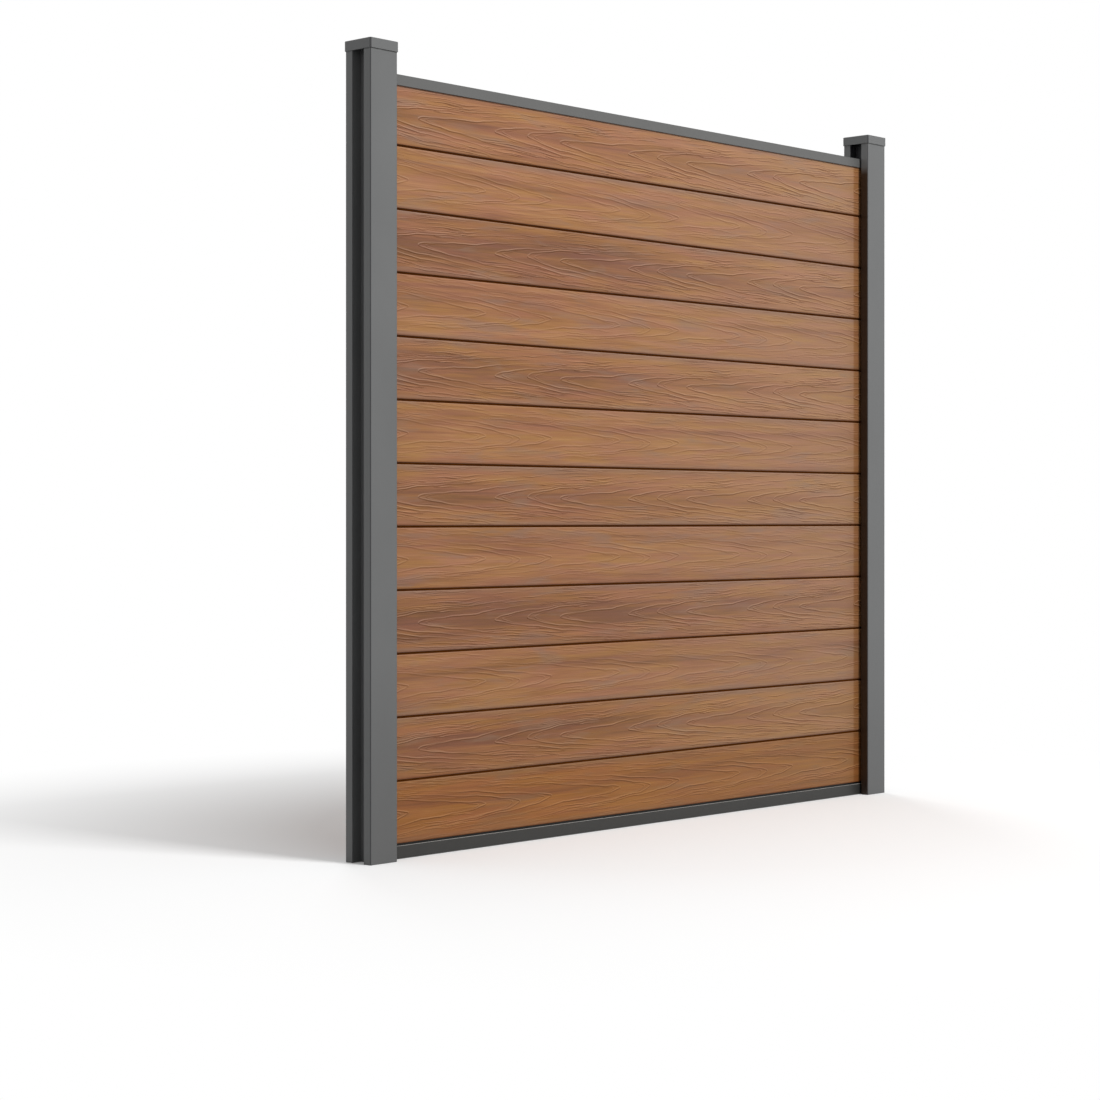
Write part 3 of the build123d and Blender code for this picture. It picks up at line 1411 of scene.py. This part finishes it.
    def rounded(self, plane: float, centre: float, way: float) -> list[Span]:
        """Section of a rounded face edge, from the face inwards.

        Args:
            plane: How far the face lies from the board's middle.
            centre: Height at which the rounding starts.
            way: 1 for the top edge, -1 for the bottom edge.

        Returns:
            Y and Z of each point.
        """
        turns = [math.pi / 2 * step / self.round_steps for step in range(self.round_steps + 1)]
        size = self.face_round
        return [
            (size * (1.0 - math.cos(turn)) - plane, centre + way * size * math.sin(turn)) for turn in turns
        ]

    def upper_edge(self, plane: float) -> list[Span]:
        """Section of the top edge from the front face over the tongue to the middle.

        Args:
            plane: How far the face lies from the board's middle.

        Returns:
            Y and Z of each point.
        """
        tongue = self.tongue_thickness / 2
        tip = self.face_height + self.tongue_height
        return self.rounded(plane, self.face_height - self.face_round, 1.0) + [
            (-tongue, self.face_height),
            (-tongue, tip - self.tongue_lead),
            (self.tongue_lead - tongue, tip),
        ]

    def lower_edge(self, plane: float) -> list[Span]:
        """Section of the bottom edge from the front face into the groove to the middle.

        Args:
            plane: How far the face lies from the board's middle.

        Returns:
            Y and Z of each point.
        """
        mouth = self.groove_width / 2
        return self.rounded(plane, self.face_round, -1.0) + [
            (-mouth - self.tongue_lead, 0.0),
            (-mouth, self.tongue_lead),
            (-mouth, self.groove_depth),
        ]

    def add_face(
        self, draft: MeshDraft, patch: FacePatch, run: GrainRun, plane: float, side: float
    ) -> tuple[list[int], list[int]]:
        """Adds an embossed face.

        Args:
            draft: The mesh to add to.
            patch: The face, laid flat.
            run: Which way its flames point: to the right, it is turned upside down.
            plane: How far the face lies from the board's middle.
            side: 1 for the front, -1 for the back, which is the front turned about the upright axis.

        Returns:
            Vertices of the lower and the upper border, in order along +X.
        """
        turn = run.value
        middle = self.face_height / 2
        half_patch = middle - self.face_round
        numbers = []
        for (x, z), rise, wear_and_light in zip(patch.points, patch.rise, patch.wear_and_light):
            place = (side * turn * x, -side * (plane + rise), middle + turn * (z - half_patch))
            numbers.append(draft.vertex(place, wear_and_light))
        for triangle in patch.triangles:
            draft.face(tuple(numbers[index] for index in triangle))
        borders = []
        for level in (0.0, 2 * half_patch):
            row = np.flatnonzero(np.abs(patch.points[:, 1] - level) < self.border_reach)
            border = [numbers[index] for index in row]
            borders.append(sorted(border, key=lambda number: draft.vertices[number][0]))
        borders.sort(key=lambda border: draft.vertices[border[0]][2])
        return borders[0], borders[1]

    def add_edge(
        self, draft: MeshDraft, edge: list[Span], front: list[int], back: list[int], top: bool
    ) -> list[list[int]]:
        """Joins the front and the back face over one long edge.

        Args:
            draft: The mesh to add to.
            edge: Section from the front face to the middle.
            front: Border of the front face.
            back: Border of the back face.
            top: Whether this is the top edge.

        Returns:
            The rows of vertices from front to back.
        """
        way = 1.0 if top else -1.0
        wear_and_light = self.upper_edge_light_and_shade if top else self.lower_edge_shade
        wear_and_light_levels = wear_and_light + (SEAM_SHADE,) * (len(edge) - 1 - len(wear_and_light))
        half = [(y, z, lit_and_worn) for (y, z), lit_and_worn in zip(edge[1:], wear_and_light_levels)]
        section = half + [(-y, z, lit_and_worn) for y, z, lit_and_worn in reversed(half)]
        rows = [front]
        rows += [[draft.vertex((x, y, z), lit_and_worn) for x in self.stations] for y, z, lit_and_worn in section]
        rows.append(back)
        bends = [math.pi / 2 * step / self.round_steps for step in range(self.round_steps + 1)]
        front_normals = [(0.0, -math.cos(bend), way * math.sin(bend)) for bend in bends]
        back_normals = [(0.0, -y, z) for _, y, z in front_normals]
        last = len(rows) - 1
        for index in range(last):
            near, far = rows[index], rows[index + 1]
            round_pair = None
            if index < self.round_steps:
                round_pair = (front_normals[index], front_normals[index + 1])
            elif index >= last - self.round_steps:
                round_pair = (back_normals[last - index], back_normals[last - index - 1])
            for step in range(len(self.stations) - 1):
                corners = (near[step], near[step + 1], far[step + 1], far[step])
                normals = None
                if round_pair is not None:
                    normals = (round_pair[0], round_pair[0], round_pair[1], round_pair[1])
                if not top:
                    corners = corners[::-1]
                    normals = None if normals is None else normals[::-1]
                draft.face(corners, CORE_FINISH if round_pair is None else FACE_FINISH, normals)
        return rows

    def cell_corners(self, index: int) -> list[Span]:
        """Section of one hollow cell, anticlockwise.

        Args:
            index: Which cell, counted from below.

        Returns:
            Y and Z of its corners.
        """
        base = self.groove_depth + self.cell_web
        pitch = (self.face_height - base) / self.cell_count
        low = base + index * pitch
        high = low + pitch - self.cell_web
        side = self.thickness / 2 - self.board_wall
        bevel = self.cell_bevel
        return [
            (bevel - side, low),
            (side - bevel, low),
            (side, low + bevel),
            (side, high - bevel),
            (side - bevel, high),
            (bevel - side, high),
            (-side, high - bevel),
            (-side, low + bevel),
        ]

    def add_ends(self, draft: MeshDraft, upper: list[list[int]], lower: list[list[int]]) -> None:
        """Adds the hollow cells and the two cut ends.

        Args:
            draft: The mesh to add to.
            upper: Rows of the top edge.
            lower: Rows of the bottom edge.
        """
        sections = [self.cell_corners(index) for index in range(self.cell_count)]
        ends = []
        for station, x in ((0, -self.length / 2), (-1, self.length / 2)):
            outer = [row[station] for row in lower] + [row[station] for row in reversed(upper)]
            cells = [[draft.vertex((x, y, z), SEAM_SHADE) for y, z in section] for section in sections]
            ends.append([outer] + cells)
        for left, right in zip(ends[0][1:], ends[1][1:]):
            for index in range(len(left)):
                follow = (index + 1) % len(left)
                draft.face((left[index], right[index], right[follow], left[follow]), CORE_FINISH)
        for way, loops in zip((-1.0, 1.0), ends):
            numbers = [number for loop in loops for number in loop]
            flat = [[Vector(draft.vertices[number]).yz.to_3d() for number in loop] for loop in loops]
            for triangle in geometry.tessellate_polygon(flat):
                corners = tuple(numbers[index] for index in triangle)
                places = [Vector(draft.vertices[corner]) for corner in corners]
                if geometry.normal(places).x * way < 0.0:
                    corners = corners[::-1]
                draft.face(corners, CORE_FINISH)


@dataclass
class Posts:
    """The two slotted posts and their caps."""

    post_finish: CoatFinish
    cap_finish: CoatFinish
    sides: tuple[str, ...] = ("left", "right")

    def build(self) -> None:
        """Dresses the posts and the caps."""
        post_coat = self.post_finish.material("post_coat")
        cap_coat = self.cap_finish.material("cap_coat")
        for side in self.sides:
            dress(f"post_{side}", post_coat)
            dress(f"post_cap_{side}", cap_coat)


@dataclass
class Rails:
    """The rails under and over the boards."""

    lower_finish: CoatFinish
    upper_finish: CoatFinish

    def build(self) -> None:
        """Dresses the rails."""
        dress("bottom_rail", self.lower_finish.material("bottom_rail_coat"))
        dress("top_rail", self.upper_finish.material("top_rail_coat"))


@dataclass
class Guides:
    """The channels in the slots that centre the board ends."""

    finish: PlasticFinish
    nodes: tuple[str, ...] = ("board_guide_left", "board_guide_right")

    def build(self) -> None:
        """Dresses the guides."""
        plastic = self.finish.material("guide_plastic")
        for node in self.nodes:
            dress(node, plastic)


@dataclass
class Studio:
    """Pale floor, soft light, white surroundings and the camera.

    Attributes:
        floor_finish: The floor's finish.
        floor_side, floor_drop: The floor's side, and how far it lies under the object.
        sky_level: How bright the surroundings shine.
        key_place, key_side, key_power: The lamp in front.
        fill_place, fill_side, fill_power: The lamp behind.
        lamp_aim: What both shine at.
        view_place, view_turn: Where the camera stands, and its turn in degrees.
        view_lens, view_sensor, view_shift: Its lens and sensor in millimetres, and the lens's shift.
    """

    floor_finish: FloorFinish
    floor_side: float = 60.0
    floor_drop: float = 0.0005
    sky_level: float = 0.45
    key_place: Triple = (0.4, -5.8, 7.0)
    key_side: float = 2.2
    key_power: float = 575.0
    fill_place: Triple = (4.2, 6.2, 2.6)
    fill_side: float = 3.0
    fill_power: float = 230.0
    lamp_aim: Triple = (0.0, 0.0, 0.9)
    view_place: Triple = (-4.5806, -3.9152, 0.7495)
    view_turn: float = -47.245
    view_lens: float = 80.15
    view_sensor: float = 36.0
    view_shift: float = -0.02868

    def build(self) -> None:
        """Sets up the whole studio."""
        scene = bpy.context.scene
        scene.view_settings.view_transform = "Standard"
        self.add_floor()
        self.add_sky()
        self.add_lamp("key", self.key_place, self.key_side, self.key_power)
        self.add_lamp("fill", self.fill_place, self.fill_side, self.fill_power)
        self.add_camera()

    def add_floor(self) -> None:
        """Lays the floor just under the object."""
        half = self.floor_side / 2
        mesh = bpy.data.meshes.new("floor")
        corners = [(-half, -half, 0.0), (half, -half, 0.0), (half, half, 0.0), (-half, half, 0.0)]
        mesh.from_pydata(corners, [], [(0, 1, 2, 3)])
        mesh.materials.append(self.floor_finish.material("floor_paint"))
        floor = bpy.data.objects.new("floor", mesh)
        floor.location.z = -self.floor_drop
        bpy.context.scene.collection.objects.link(floor)
        LOG.info("floor laid")

    def add_sky(self) -> None:
        """Makes surroundings that look white and give soft light."""
        world = bpy.data.worlds.new("studio")
        world.use_nodes = True
        bpy.context.scene.world = world
        graph = ShaderGraph(world.node_tree)
        soft = graph.add("ShaderNodeBackground")
        soft.inputs["Color"].default_value = WHITE
        soft.inputs["Strength"].default_value = self.sky_level
        white = graph.add("ShaderNodeBackground")
        white.inputs["Color"].default_value = WHITE
        white.inputs["Strength"].default_value = 1.0
        output = graph.add("ShaderNodeOutputWorld")
        both = graph.blend(graph.seen_straight(), soft.outputs["Background"], white.outputs["Background"])
        graph.join(both, output.inputs["Surface"])
        LOG.info("surroundings lit at %.2f", self.sky_level)

    def add_lamp(self, name: str, place: Triple, side: float, power: float) -> None:
        """Hangs a square soft lamp that shines on the panel's middle.

        Args:
            name: The lamp's name.
            place: Where it hangs.
            side: Its side.
            power: Its power in watts.
        """
        light = bpy.data.lights.new(name, "AREA")
        light.shape = "SQUARE"
        light.size = side
        light.energy = power
        lamp = bpy.data.objects.new(name, light)
        lamp.location = place
        aim = Vector(self.lamp_aim) - Vector(place)
        lamp.rotation_euler = aim.to_track_quat("-Z", "Y").to_euler()
        lamp.visible_camera = False
        bpy.context.scene.collection.objects.link(lamp)
        LOG.info("%s lamp hung", name)

    def add_camera(self) -> None:
        """Places the level camera, left of the panel and near its mid-height."""
        lens = bpy.data.cameras.new("camera")
        lens.sensor_width = self.view_sensor
        lens.lens = self.view_lens
        lens.shift_y = self.view_shift
        camera = bpy.data.objects.new("camera", lens)
        camera.location = self.view_place
        camera.rotation_euler = (math.pi / 2, 0.0, math.radians(self.view_turn))
        bpy.context.scene.collection.objects.link(camera)
        bpy.context.scene.camera = camera
        LOG.info("camera placed")


def main() -> None:
    """Builds and dresses the panel, piece by piece."""
    logging.basicConfig(level=logging.INFO, format="%(name)s: %(message)s")
    graphite = CoatFinish((0.128, 0.131, 0.131, 1.0), (0.146, 0.149, 0.149, 1.0))
    near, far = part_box("post_right")
    # The posts get painted shade on their slot lips and inside their slots.
    lipped = replace(
        graphite, lip_place=near.x, lip_top=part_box("top_rail")[0].z, slot_end=(near.x + far.x) / 2
    )
    Posts(lipped, graphite).build()
    slate = CoatFinish((0.104, 0.104, 0.101, 1.0), (0.120, 0.120, 0.117, 1.0))
    # The bottom rail's coat is darker than the top rail's as painted shade near the ground, and its rounded
    # edges carry a painted highlight.
    rail_coat_with_painted_shade = CoatFinish(
        (0.046, 0.046, 0.043, 1.0),
        (0.056, 0.056, 0.053, 1.0),
        edge=(0.46, 0.45, 0.43, 1.0),
        # Deeper painted shade near the ground on the bottom rail.
        ground_shade=0.68,
        gloss=0.35,
    )
    Rails(rail_coat_with_painted_shade, slate).build()
    Guides(PlasticFinish()).build()
    BoardStack(CompositeFinish(), CoreFinish()).build()
    Studio(FloorFinish()).build()


if __name__ == "__main__":
    main()
